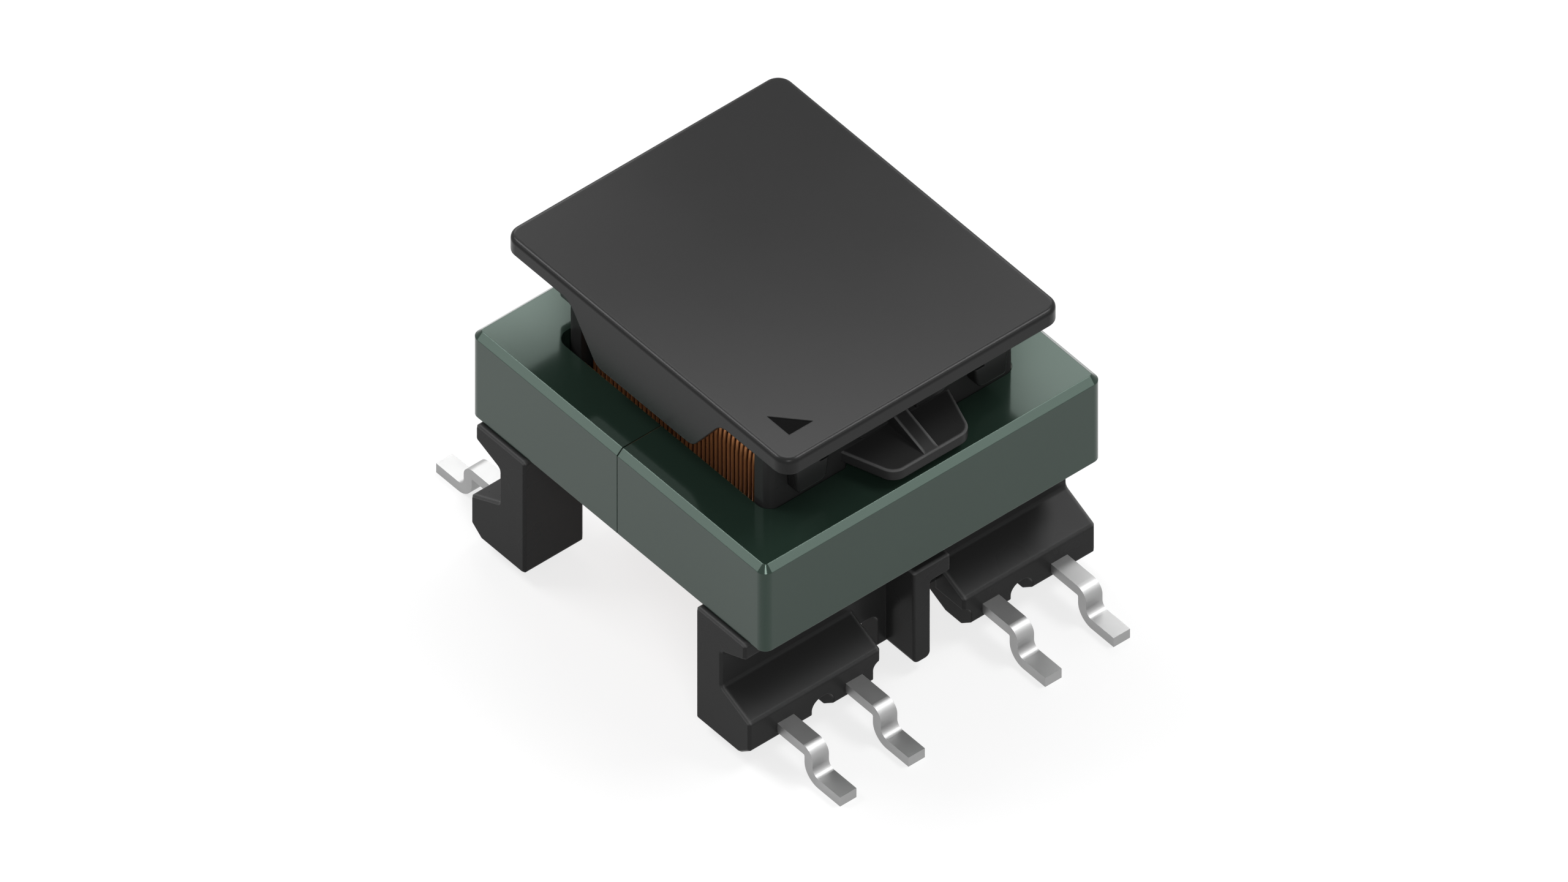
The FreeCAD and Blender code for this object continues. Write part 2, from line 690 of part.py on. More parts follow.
def build_parts():
    """Every separate piece of the transformer, by name."""
    parts = {
        "core_half_front": core_half(core_shift, window_front_x, core_front_x),
        "core_half_rear": core_half(core_shift, window_rear_x, core_rear_x),
        "core_glue_left": glue_joint(-1),
        "core_glue_right": glue_joint(1),
        "primary_winding": winding_layer(0, primary_build, winding_end_gap),
        "layer_tape": winding_layer(primary_build, primary_build + tape_build, tape_end_gap),
        "secondary_winding": outer_winding(),
        "cover_cap": cover_cap(),
    }
    places = [(1, step) for step in front_pin_steps] + [(-1, step) for step in rear_pin_steps]
    pins = []
    for number, (row, step) in enumerate(places, start=1):
        pin_shape = pin(row, step)
        lead = front_lead(step) if row > 0 else rear_lead(step)
        pins.append(pin_shape)
        parts[f"pin_{number}"] = pin_shape
        parts[f"lead_{number}"] = lead
        parts[f"solder_joint_{number}"] = solder_joint(row, step, pin_shape, lead)
    parts["coil_former"] = coil_former(pins)
    return parts


os.makedirs("parts", exist_ok=True)
for name, shape in build_parts().items():
    shape.exportStep(f"parts/{name}.step")
    print(name, shape.ShapeType, len(shape.Solids), round(shape.Volume, 4), shape.isValid())
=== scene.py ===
import math

import bpy
import numpy as np
from bpy.props import (CollectionProperty, FloatProperty, FloatVectorProperty, IntProperty,
                       PointerProperty, StringProperty)
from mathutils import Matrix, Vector


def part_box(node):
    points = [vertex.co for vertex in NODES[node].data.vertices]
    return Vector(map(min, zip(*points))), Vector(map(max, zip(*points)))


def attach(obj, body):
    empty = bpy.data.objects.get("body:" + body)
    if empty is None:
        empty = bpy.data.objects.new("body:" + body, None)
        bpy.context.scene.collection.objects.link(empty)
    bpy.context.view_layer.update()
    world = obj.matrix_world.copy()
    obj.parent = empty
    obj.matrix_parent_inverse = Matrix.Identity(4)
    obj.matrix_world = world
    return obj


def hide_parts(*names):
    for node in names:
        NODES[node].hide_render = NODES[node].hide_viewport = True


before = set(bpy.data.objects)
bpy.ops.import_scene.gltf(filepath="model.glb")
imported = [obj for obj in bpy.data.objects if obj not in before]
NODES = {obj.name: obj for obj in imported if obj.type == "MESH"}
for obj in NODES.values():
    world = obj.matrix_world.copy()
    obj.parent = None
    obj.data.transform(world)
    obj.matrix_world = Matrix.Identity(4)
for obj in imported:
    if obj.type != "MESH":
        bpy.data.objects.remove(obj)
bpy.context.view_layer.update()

bl_info = {
    "name": "Board transformer",
    "version": (1, 0, 0),
    "blender": (4, 5, 0),
    "location": "View3D > Sidebar > Transformer",
    "description": "Dresses the solids of a surface-mount transformer and lights them",
    "category": "Object",
}

MM = 0.001
# Painted shade in the clefts between the turns of wire.
CLEFT_PAINTED_SHADE = (0.004, 0.002, 0.001, 1.0)
FLOOR_ROUGHNESS = 0.9
LOWER_LAYER_DEPTH = 0.62
JOINT_NAMES = sorted(name for name in NODES if name.startswith("solder_joint_"))
LEAD_NAMES = sorted(name for name in NODES if name.startswith("lead_"))
PIN_NAMES = sorted(name for name in NODES if name.startswith("pin_"))
WINDING_LOW, WINDING_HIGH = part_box("secondary_winding")
TAPE_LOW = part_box("layer_tape")[0]
CAP_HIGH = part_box("cover_cap")[1]


# Sizes and colours that a user would change

class WindingSettings(bpy.types.PropertyGroup):
    turns: IntProperty(
        name="Turns", description="Turns of wire that show in the outer layer", default=42, min=2)
    wire_diameter: FloatProperty(
        name="Wire diameter", description="Outer diameter of the enamelled wire",
        default=0.156 * MM, unit="LENGTH", precision=6)
    corner_radius: FloatProperty(
        name="Corner radius", description="Outer radius of the coil where the wire turns a corner",
        default=1.95 * MM, unit="LENGTH", precision=6)
    corner_steps: IntProperty(
        name="Corner steps", description="Rows of faces round each corner of a turn", default=10, min=2)
    wire_sides: IntProperty(
        name="Wire sides", description="Faces round the wire", default=12, min=6)
    unevenness: FloatProperty(
        name="Unevenness", description="How far a turn may wander from its even place",
        default=0.004 * MM, unit="LENGTH", precision=6)


class SolderSettings(bpy.types.PropertyGroup):
    squareness: FloatProperty(
        name="Squareness", description="Power of the drop's curve: 1 is an ellipsoid, less is squarer",
        default=0.62, min=0.2, max=1.0)
    ripple: FloatProperty(
        name="Ripple", description="Height of the wraps of wire that show through the solder",
        default=0.014 * MM, unit="LENGTH", precision=6)
    wraps: IntProperty(
        name="Wraps", description="Wraps of wire under each drop of solder", default=3, min=1)


class MarkSettings(bpy.types.PropertyGroup):
    tip_x: FloatProperty(
        name="Corner X", description="Front edge of the triangle",
        default=5.26 * MM, unit="LENGTH", precision=6)
    base_x: FloatProperty(
        name="Tail X", description="Rear corner of the triangle",
        default=4.29 * MM, unit="LENGTH", precision=6)
    outer_y: FloatProperty(
        name="Outer Y", description="Side of the triangle next to the cap's edge",
        default=-4.19 * MM, unit="LENGTH", precision=6)
    inner_y: FloatProperty(
        name="Inner Y", description="Corner of the triangle nearest the middle",
        default=-3.32 * MM, unit="LENGTH", precision=6)
    sunk: FloatProperty(
        name="Sunk", description="Depth of the ink below the cap's top face",
        default=0.018 * MM, unit="LENGTH", precision=6)


class FinishSettings(bpy.types.PropertyGroup):
    former_colour: FloatVectorProperty(
        name="Former", description="Colour of the moulded coil former", subtype="COLOR", size=4,
        default=(0.0185, 0.0185, 0.0185, 1.0), min=0.0, max=1.0)
    cap_colour: FloatVectorProperty(
        name="Cap", description="Colour of the moulded cap", subtype="COLOR", size=4,
        default=(0.010, 0.010, 0.010, 1.0), min=0.0, max=1.0)
    mark_colour: FloatVectorProperty(
        name="Pin 1 mark", description="Colour of the triangle on the cap", subtype="COLOR", size=4,
        default=(0.003, 0.003, 0.003, 1.0), min=0.0, max=1.0)
    core_colour: FloatVectorProperty(
        name="Core", description="Colour of the coated ferrite", subtype="COLOR", size=4,
        default=(0.010, 0.019, 0.014, 1.0), min=0.0, max=1.0)
    copper_colour: FloatVectorProperty(
        name="Copper", description="Colour of the enamelled wire", subtype="COLOR", size=4,
        default=(0.98, 0.40, 0.16, 1.0), min=0.0, max=1.0)
    tin_colour: FloatVectorProperty(
        name="Tin", description="Colour of the tinned pins", subtype="COLOR", size=4,
        default=(0.38, 0.38, 0.38, 1.0), min=0.0, max=1.0)
    solder_colour: FloatVectorProperty(
        name="Solder", description="Colour of the solder", subtype="COLOR", size=4,
        default=(0.60, 0.60, 0.61, 1.0), min=0.0, max=1.0)
    tape_colour: FloatVectorProperty(
        name="Tape", description="Colour of the insulation between the windings", subtype="COLOR", size=4,
        default=(0.50, 0.30, 0.05, 1.0), min=0.0, max=1.0)
    glue_colour: FloatVectorProperty(
        name="Adhesive", description="Colour of the film between the core halves", subtype="COLOR", size=4,
        default=(0.008, 0.012, 0.010, 1.0), min=0.0, max=1.0)


class LampSettings(bpy.types.PropertyGroup):
    name: StringProperty(name="Name", description="Name of the lamp", default="lamp")
    direction: FloatVectorProperty(
        name="Direction", description="From the part towards the lamp", size=3, default=(0.0, 0.0, 1.0),
        subtype="XYZ")
    distance: FloatProperty(
        name="Distance", description="From the part to the lamp", default=0.3, unit="LENGTH")
    shift: FloatProperty(
        name="Shift", description="Shift of the lamp in its own plane, sideways", default=0.0, unit="LENGTH")
    lift: FloatProperty(
        name="Lift", description="Shift of the lamp in its own plane, upwards", default=0.0, unit="LENGTH")
    width: FloatProperty(name="Width", description="Width of the lamp", default=0.2, unit="LENGTH")
    height: FloatProperty(name="Height", description="Height of the lamp", default=0.2, unit="LENGTH")
    brightness: FloatProperty(
        name="Brightness", description="Brightness of the lamp's face, where 1 is plain white", default=1.0)


class StageSettings(bpy.types.PropertyGroup):
    azimuth: FloatProperty(
        name="Azimuth", description="Way the camera looks, turned from the part's +Y towards -X",
        default=math.radians(50.0), subtype="ANGLE")
    elevation: FloatProperty(
        name="Elevation", description="Height of the camera above the board",
        default=math.radians(44.0), subtype="ANGLE")
    frame_width: FloatProperty(
        name="Frame width", description="Width of the picture at the part", default=43.911 * MM,
        unit="LENGTH", precision=6)
    centre_right: FloatProperty(
        name="Centre right", description="Middle of the picture, right of the part's origin",
        default=0.026 * MM, unit="LENGTH", precision=6)
    centre_up: FloatProperty(
        name="Centre up", description="Middle of the picture, above the part's origin",
        default=3.19 * MM, unit="LENGTH", precision=6)
    camera_distance: FloatProperty(
        name="Camera distance", description="From the part to the camera", default=0.4, unit="LENGTH")
    floor_half: FloatProperty(
        name="Floor", description="Half the width of the floor", default=1.5, unit="LENGTH")
    floor_colour: FloatVectorProperty(
        name="Floor colour", description="Colour of the floor", subtype="COLOR", size=4,
        default=(0.80, 0.80, 0.80, 1.0), min=0.0, max=1.0)
    backdrop_glow: FloatProperty(
        name="Backdrop", description="Share of plain white in the floor as the camera and metal see it",
        default=0.75, min=0.0, max=1.0, subtype="FACTOR")
    sky_level: FloatProperty(
        name="Sky level", description="Brightness of the even light from all round", default=0.36)
    lamps: CollectionProperty(type=LampSettings)


# Surfaces worked out as arrays

def grid_faces(rows, columns, rows_closed):
    """Four-cornered faces of a grid that is closed across its columns.

    Point k lies in row k // columns. Each face joins columns c and c + 1 of rows r and r + 1.
    """
    row = np.arange(rows if rows_closed else rows - 1)
    column = np.arange(columns)
    r, c = np.meshgrid(row, column, indexing="ij")
    r_next = (r + 1) % rows
    c_next = (c + 1) % columns
    corners = (r * columns + c, r * columns + c_next, r_next * columns + c_next, r_next * columns + c)
    return np.stack(corners, axis=-1).reshape(-1, 4)


def turn_outline(half_y, half_z, radius, steps):
    """One turn round a rectangle with rounded corners, seen along X.

    Each corner is a quarter circle: its centre lies the radius inside both sides, the point is the
    centre plus the radius times (cos a, sin a), and (cos a, sin a) is the way out. Straight sides
    join the corners. Also gives the share of the turn's length at each point.
    """
    angle = np.linspace(0, math.pi / 2, steps) + np.arange(4)[:, None] * math.pi / 2
    side_y = np.array([1, -1, -1, 1])[:, None]
    side_z = np.array([1, 1, -1, -1])[:, None]
    out = np.stack((np.cos(angle), np.sin(angle)), axis=-1).reshape(-1, 2)
    centre_y = np.broadcast_to(side_y * (half_y - radius), angle.shape)
    centre_z = np.broadcast_to(side_z * (half_z - radius), angle.shape)
    points = np.stack((centre_y, centre_z), axis=-1).reshape(-1, 2) + radius * out
    runs = np.linalg.norm(np.roll(points, -1, axis=0) - points, axis=1)
    share = np.concatenate(([0], np.cumsum(runs)[:-1])) / runs.sum()
    return points, out, share


def wound_wire(low, high, corner_radius, wire, turns, steps, sides, unevenness):
    """One wire wound side by side round the coil, filling the box from low to high.

    The middle of the wire is a helix: X grows by one pitch in each turn of turn_outline, plus two
    small sines of the turn count. The surface is the middle plus half the wire's diameter times
    (cos b times the way out plus sin b times X), for b round the wire. The size of sin b is also given,
    as how far a point turns into the cleft between two turns.
    """
    middle = (low + high) / 2
    half = (high - low) / 2 - wire / 2
    points, out, share = turn_outline(half[1], half[2], corner_radius - wire / 2, steps)
    count = len(points)
    index = np.arange(turns * count)
    corner = index % count
    turn = index // count + share[corner]
    pitch = 2 * half[0] / turns
    quick, slow = np.sin(turn * 2.4), np.sin(turn * 2.32471 + 1.0)
    wander = 0.6 * quick + 0.4 * slow
    x = low[0] + wire / 2 + turn * pitch + unevenness * wander
    centre = np.column_stack((x, middle[1] + points[corner, 0], middle[2] + points[corner, 1]))
    way = np.column_stack((np.zeros(len(index)), out[corner, 0], out[corner, 1]))
    around = np.linspace(0, 2 * math.pi, sides, endpoint=False)
    outward = np.cos(around)[None, :, None] * way[:, None, :]
    ring = outward + np.sin(around)[None, :, None] * np.array([1.0, 0, 0])
    surface = centre[:, None, :] + wire / 2 * ring
    faces = grid_faces(len(index), sides, rows_closed=False).tolist()
    last = (len(index) - 1) * sides
    faces.append(list(range(sides)))
    faces.append(list(range(last + sides - 1, last - 1, -1)))
    return surface.reshape(-1, 3), faces, np.tile(np.abs(np.sin(around)), len(index))


def ring_round_tube(low, high, thickness, corner_radius, steps):
    """Ring of rectangular section round the coil, with its outside at the box from low to high.

    A rectangle from X low to X high, as deep as the thickness, is carried round turn_outline.
    """
    middle = (low + high) / 2
    half = (high - low) / 2
    points, out, share = turn_outline(half[1], half[2], corner_radius, steps)
    rings = []
    for x, depth in ((low[0], 0), (high[0], 0), (high[0], thickness), (low[0], thickness)):
        at = points - depth * out
        rings.append(np.column_stack((np.full(len(at), x), middle[1] + at[:, 0], middle[2] + at[:, 1])))
    surface = np.stack(rings, axis=1)
    return surface.reshape(-1, 3), grid_faces(len(points), 4, rows_closed=True)[:, ::-1].tolist()


def solder_drop(low, high, power, ripple, wraps, rows=22, columns=28):
    """Drop of solder that fills the box from low to high, squarer than an ellipsoid.

    With t from end to end and b round the drop, X is the half length times cos t to the power, and
    Y and Z are their half sizes times sin t to the power times cos b or sin b to the power, all with
    their signs kept. A cosine of t lowers the surface by the ripple between the wraps.
    """
    middle = (low + high) / 2
    half = (high - low) / 2
    t = np.linspace(0, math.pi, rows + 2)[1:-1][:, None]
    b = np.linspace(0, 2 * math.pi, columns, endpoint=False)[None, :]

    def powered(value):
        return np.sign(value) * np.abs(value) ** power

    dent = ripple * (1 - np.cos(2 * wraps * t)) / 2 * np.ones_like(b)
    x = half[0] * powered(np.cos(t)) * np.ones_like(b)
    y = (half[1] * powered(np.sin(t)) - dent) * powered(np.cos(b))
    z = (half[2] * powered(np.sin(t)) - dent) * powered(np.sin(b))
    surface = middle + np.stack((x, y, z), axis=-1).reshape(-1, 3)
    poles = middle + np.array([[half[0], 0, 0], [-half[0], 0, 0]])
    faces = grid_faces(rows, columns, rows_closed=False)[:, ::-1].tolist()
    first, second = rows * columns, rows * columns + 1
    near = np.arange(columns)
    far = near + (rows - 1) * columns
    faces += np.column_stack((np.full(columns, first), near, np.roll(near, -1))).tolist()
    faces += np.column_stack((np.full(columns, second), np.roll(far, -1), far)).tolist()
    return np.vstack((surface, poles)), faces


def inked_triangle(corners, top, depth, steps=12):
    """Thin plate of ink with a slightly domed top, over a triangle.

    With u and v from 0 to 1, the point is corner A plus u times the way to B plus u times v times
    the way from B to C. The top sinks by the square of the distance from the plate's middle.
    """
    a, b, c = (np.array(corner) for corner in corners)
    u, v = np.meshgrid(np.linspace(0, 1, steps), np.linspace(0, 1, steps), indexing="ij")
    plan = a + u[..., None] * (b - a) + (u * v)[..., None] * (c - b)
    middle = (a + b + c) / 3
    reach = np.linalg.norm(plan - middle, axis=-1)
    dome = depth * 0.1
    height = top - dome * (reach / reach.max()) ** 2
    surface = np.dstack((plan, height)).reshape(-1, 3)
    r, s = np.meshgrid(np.arange(steps - 1), np.arange(steps - 1), indexing="ij")
    first = (r * steps + s).reshape(-1)
    faces = np.column_stack((first, first + steps, first + steps + 1, first + 1)).tolist()
    return surface, faces


def new_piece(name, surface, faces, material):
    """Smooth mesh object at the origin that rides on the part and takes its finish from the slot."""
    mesh = bpy.data.meshes.new(name)
    mesh.from_pydata(np.asarray(surface).tolist(), [], faces)
    mesh.validate()
    mesh.shade_smooth()
    mesh.materials.append(material)
    piece = bpy.data.objects.new(name, mesh)
    bpy.context.scene.collection.objects.link(piece)
    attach(piece, "root")
    return piece


# Effects that several finishes use

def empty_group(name, inputs, outputs):
    """Shader node group with named sockets; each input is (name, kind, default)."""
    group = bpy.data.node_groups.new(name, "ShaderNodeTree")
    for label, kind, default in inputs:
        socket = group.interface.new_socket(label, in_out="INPUT", socket_type=kind)
        if default is not None:
            socket.default_value = default
    for label, kind in outputs:
        group.interface.new_socket(label, in_out="OUTPUT", socket_type=kind)
    start = group.nodes.new("NodeGroupInput")
    end = group.nodes.new("NodeGroupOutput")
    return group, start.outputs, end.inputs


def noise_node(tree, place, scale, detail=3.0, roughness=0.5):
    """Noise texture at the given place, with a set scale or a socket for it."""
    node = tree.nodes.new("ShaderNodeTexNoise")
    node.inputs["Detail"].default_value = detail
    node.inputs["Roughness"].default_value = roughness
    tree.links.new(place, node.inputs["Vector"])
    if isinstance(scale, (int, float)):
        node.inputs["Scale"].default_value = scale
    else:
        tree.links.new(scale, node.inputs["Scale"])
    return node.outputs["Fac"]


def mapped(tree, value, low, high, out_low, out_high):
    """Value carried from one range to another; the new limits may be sockets."""
    node = tree.nodes.new("ShaderNodeMapRange")
    tree.links.new(value, node.inputs["Value"])
    for label, limit in (("From Min", low), ("From Max", high), ("To Min", out_low), ("To Max", out_high)):
        if isinstance(limit, (int, float)):
            node.inputs[label].default_value = limit
        else:
            tree.links.new(limit, node.inputs[label])
    return node.outputs["Result"]


def grain_group():
    """Moulded or cast skin: fine grain in the height, and slow patches in the gloss."""
    inputs = (("Place", "NodeSocketVector", None), ("Grain scale", "NodeSocketFloat", 9000.0),
              ("Patch scale", "NodeSocketFloat", 500.0), ("Smoothest", "NodeSocketFloat", 0.3),
              ("Roughest", "NodeSocketFloat", 0.5))
    group, given, result = empty_group("Moulded skin", inputs,
                                       (("Height", "NodeSocketFloat"), ("Roughness", "NodeSocketFloat")))
    grain = noise_node(group, given["Place"], given["Grain scale"], 4.0, 0.6)
    patches = noise_node(group, given["Place"], given["Patch scale"], 2.0)
    group.links.new(grain, result["Height"])
    gloss = mapped(group, patches, 0.0, 1.0, given["Smoothest"], given["Roughest"])
    group.links.new(gloss, result["Roughness"])
    return group


def tone_group():
    """Slow change between two colours over the surface, with faint specks of the second."""
    inputs = (("Place", "NodeSocketVector", None), ("Patch scale", "NodeSocketFloat", 400.0),
              ("Speck scale", "NodeSocketFloat", 6000.0), ("Main", "NodeSocketColor", None),
              ("Other", "NodeSocketColor", None), ("Specks", "NodeSocketFloat", 0.3))
    group, given, result = empty_group("Two tones", inputs, (("Color", "NodeSocketColor"),))
    patches = mapped(group, noise_node(group, given["Place"], given["Patch scale"], 2.0), 0.1, 0.9, 0.0, 0.8)
    specks = mapped(group, noise_node(group, given["Place"], given["Speck scale"], 2.0), 0.62, 0.75, 0.0,
                    given["Specks"])
    both = group.nodes.new("ShaderNodeMath")
    both.operation = "MAXIMUM"
    group.links.new(patches, both.inputs[0])
    group.links.new(specks, both.inputs[1])
    mix = group.nodes.new("ShaderNodeMix")
    mix.data_type = "RGBA"
    group.links.new(both.outputs["Value"], mix.inputs["Factor"])
    group.links.new(given["Main"], mix.inputs["A"])
    group.links.new(given["Other"], mix.inputs["B"])
    group.links.new(mix.outputs["Result"], result["Color"])
    return group


def corner_highlight_group():
    """Rounds corners in the normal, and gives a mask of upward-facing corners for a painted highlight.

    Rays sent into the solid from near a corner soon meet its other side, so a flat face gives 1 and
    a corner gives less. The mask starts just below 1.
    """
    inputs = (("Radius", "NodeSocketFloat", 0.05 * MM), ("Reach", "NodeSocketFloat", 0.10 * MM))
    group, given, result = empty_group("Handled corners", inputs,
                                       (("Mask", "NodeSocketFloat"), ("Normal", "NodeSocketVector")))
    rounded = group.nodes.new("ShaderNodeBevel")
    rounded.samples = 6
    group.links.new(given["Radius"], rounded.inputs["Radius"])
    group.links.new(rounded.outputs["Normal"], result["Normal"])
    inward = group.nodes.new("ShaderNodeAmbientOcclusion")
    inward.samples = 8
    inward.inside = True
    inward.only_local = True
    group.links.new(given["Reach"], inward.inputs["Distance"])
    flat, sharp = 0.96, 0.84
    corner = mapped(group, inward.outputs["AO"], flat, sharp, 0.0, 1.0)
    way_out = group.nodes.new("ShaderNodeSeparateXYZ")
    group.links.new(rounded.outputs["Normal"], way_out.inputs["Vector"])
    # Only corners that face upwards get the painted highlight, where the lamps above would light them.
    sideways, upwards = 0.15, 0.5
    product = group.nodes.new("ShaderNodeMath")
    product.operation = "MULTIPLY"
    group.links.new(corner, product.inputs[0])
    group.links.new(mapped(group, way_out.outputs["Z"], sideways, upwards, 0.0, 1.0), product.inputs[1])
    group.links.new(product.outputs["Value"], result["Mask"])
    return group


def scaled_colour(colour, factor):
    """The colour with its three channels multiplied, clipped to 1."""
    return tuple(min(1.0, channel * factor) for channel in colour[:3]) + (1.0,)


def finish(name, colour, other, skin, tone, bump, stretch=(1, 1, 1), corners=None, **constants):
    """Material of one finish: two tones and a moulded skin over the Principled shader.

    skin and tone are the values of the two groups by name, bump is (strength, depth in metres),
    stretch scales the pattern's place along X, Y and Z, corners is (radius in metres, colour of the
    painted highlight on upward-facing corners or None), and constants go on the shader's own sockets.
    """
    material = bpy.data.materials.new(name)
    material.use_nodes = True
    tree = material.node_tree
    shader = tree.nodes["Principled BSDF"]
    place = tree.nodes.new("ShaderNodeTexCoord")
    mapping = tree.nodes.new("ShaderNodeMapping")
    mapping.inputs["Scale"].default_value = stretch
    tree.links.new(place.outputs["Object"], mapping.inputs["Vector"])
    groups = []
    for group_name, values in (("Two tones", tone), ("Moulded skin", skin)):
        node = tree.nodes.new("ShaderNodeGroup")
        node.node_tree = bpy.data.node_groups[group_name]
        tree.links.new(mapping.outputs["Vector"], node.inputs["Place"])
        for label, value in values.items():
            node.inputs[label].default_value = value
        groups.append(node)
    groups[0].inputs["Main"].default_value = tuple(colour)
    groups[0].inputs["Other"].default_value = tuple(other)
    tree.links.new(groups[0].outputs["Color"], shader.inputs["Base Color"])
    tree.links.new(groups[1].outputs["Roughness"], shader.inputs["Roughness"])
    relief = tree.nodes.new("ShaderNodeBump")
    relief.inputs["Strength"].default_value = bump[0]
    relief.inputs["Distance"].default_value = bump[1]
    tree.links.new(groups[1].outputs["Height"], relief.inputs["Height"])
    if corners:
        radius, painted_highlight_colour = corners
        edges = tree.nodes.new("ShaderNodeGroup")
        edges.node_tree = bpy.data.node_groups["Handled corners"]
        edges.inputs["Radius"].default_value = radius
        tree.links.new(edges.outputs["Normal"], relief.inputs["Normal"])
        # Painted highlight: a lighter colour mixed into the base colour on the upward-facing corners.
        if painted_highlight_colour:
            mix = tree.nodes.new("ShaderNodeMix")
            mix.data_type = "RGBA"
            tree.links.new(edges.outputs["Mask"], mix.inputs["Factor"])
            tree.links.new(groups[0].outputs["Color"], mix.inputs["A"])
            mix.inputs["B"].default_value = tuple(painted_highlight_colour)
            tree.links.new(mix.outputs["Result"], shader.inputs["Base Color"])
    tree.links.new(relief.outputs["Normal"], shader.inputs["Normal"])
    for label, value in constants.items():
        shader.inputs[label.replace("_", " ")].default_value = value
    return material


def paint_cleft_shade(material, start, share):
    """Paints shade into the colour from the start of the piece's Cleft attribute on, darkest deep between
    the turns.
    """
    tree = material.node_tree
    base = tree.nodes["Principled BSDF"].inputs["Base Color"]
    clean = base.links[0].from_socket
    cleft = tree.nodes.new("ShaderNodeAttribute")
    cleft.attribute_name = "Cleft"
    mix = tree.nodes.new("ShaderNodeMix")
    mix.data_type = "RGBA"
    tree.links.new(mapped(tree, cleft.outputs["Fac"], start, 1.0, 0.0, share), mix.inputs["Factor"])
    tree.links.new(clean, mix.inputs["A"])
    mix.inputs["B"].default_value = CLEFT_PAINTED_SHADE
    tree.links.new(mix.outputs["Result"], base)


def set_material(node_names, material):
    """Gives the CAD nodes the material."""
    for name in node_names:
        mesh = NODES[name].data
        mesh.materials.clear()
        mesh.materials.append(material)


# Operators

class TRANSFORMER_OT_effects(bpy.types.Operator):
    """Build the shader node groups that the finishes share"""
    bl_idname = "transformer.effects"
    bl_label = "Build Shared Effects"

    def execute(self, context):
        grain_group()
        tone_group()
        corner_highlight_group()
        return {"FINISHED"}


class TRANSFORMER_OT_former(bpy.types.Operator):
    """Finish the coil former as black moulded plastic"""
    bl_idname = "transformer.former"
    bl_label = "Finish Coil Former"

    def execute(self, context):
        colour = context.scene.transformer_finish.former_colour
        material = finish(
            "former_moulding", colour, scaled_colour(colour, 1.25),
            {"Grain scale": 11000.0, "Patch scale": 450.0, "Smoothest": 0.25, "Roughest": 0.31},
            {"Patch scale": 350.0, "Speck scale": 9000.0, "Specks": 0.5},
            # Rounded corners, with a painted highlight at 4.5 times the former's colour.
            (0.12, 0.006 * MM), (1, 1, 1), (0.05 * MM, scaled_colour(colour, 4.5)),
            Specular_IOR_Level=0.04)
        set_material(["coil_former"], material)
        return {"FINISHED"}


class TRANSFORMER_OT_cap(bpy.types.Operator):
    """Finish the clip-on cap and ink the triangle that marks pin 1"""
    bl_idname = "transformer.cap"
    bl_label = "Finish Cap and Mark"

    def execute(self, context):
        finishes = context.scene.transformer_finish
        mark = context.scene.transformer_mark
        material = finish(
            "cap_moulding", finishes.cap_colour, scaled_colour(finishes.cap_colour, 1.2),
            {"Grain scale": 12000.0, "Patch scale": 300.0, "Smoothest": 0.24, "Roughest": 0.28},
            {"Patch scale": 250.0, "Speck scale": 9000.0, "Specks": 0.4},
            (0.1, 0.006 * MM), (1, 1, 1), (0.05 * MM, None),
            Specular_IOR_Level=0.12)
        set_material(["cover_cap"], material)
        ink = finish(
            "mark_ink", finishes.mark_colour, scaled_colour(finishes.mark_colour, 1.6),
            {"Grain scale": 14000.0, "Patch scale": 900.0, "Smoothest": 0.6, "Roughest": 0.75},
            {"Patch scale": 1200.0, "Speck scale": 9000.0, "Specks": 0.5},
            (0.1, 0.004 * MM), Specular_IOR_Level=0.01)
        corners = ((mark.base_x, mark.outer_y), (mark.tip_x, mark.outer_y), (mark.tip_x, mark.inner_y))
        surface, faces = inked_triangle(corners, CAP_HIGH.z - mark.sunk, mark.sunk)
        new_piece("pin_one_mark", surface, faces, ink)
        return {"FINISHED"}


class TRANSFORMER_OT_core(bpy.types.Operator):
    """Finish both core halves as glossy coated ferrite, with the adhesive between them"""
    bl_idname = "transformer.core"
    bl_label = "Finish Core"

    def execute(self, context):
        finishes = context.scene.transformer_finish
        ferrite = finish(
            "ferrite", finishes.core_colour, scaled_colour(finishes.core_colour, 1.2),
            {"Grain scale": 5000.0, "Patch scale": 350.0, "Smoothest": 0.10, "Roughest": 0.16},
            {"Patch scale": 300.0, "Speck scale": 7000.0, "Specks": 0.5},
            (0.03, 0.006 * MM), (1, 1, 1), (0.03 * MM, None),
            IOR=1.44, Specular_Tint=(0.76, 1.0, 0.88, 1.0))
        set_material(["core_half_front", "core_half_rear"], ferrite)
        glue = finish(
            "adhesive", finishes.glue_colour, scaled_colour(finishes.glue_colour, 1.5),
            {"Grain scale": 6000.0, "Patch scale": 900.0, "Smoothest": 0.2, "Roughest": 0.35},
            {"Patch scale": 1500.0, "Speck scale": 9000.0, "Specks": 0.4}, (0.2, 0.01 * MM),
            Specular_IOR_Level=0.1)
        set_material(["core_glue_left", "core_glue_right"], glue)
        return {"FINISHED"}


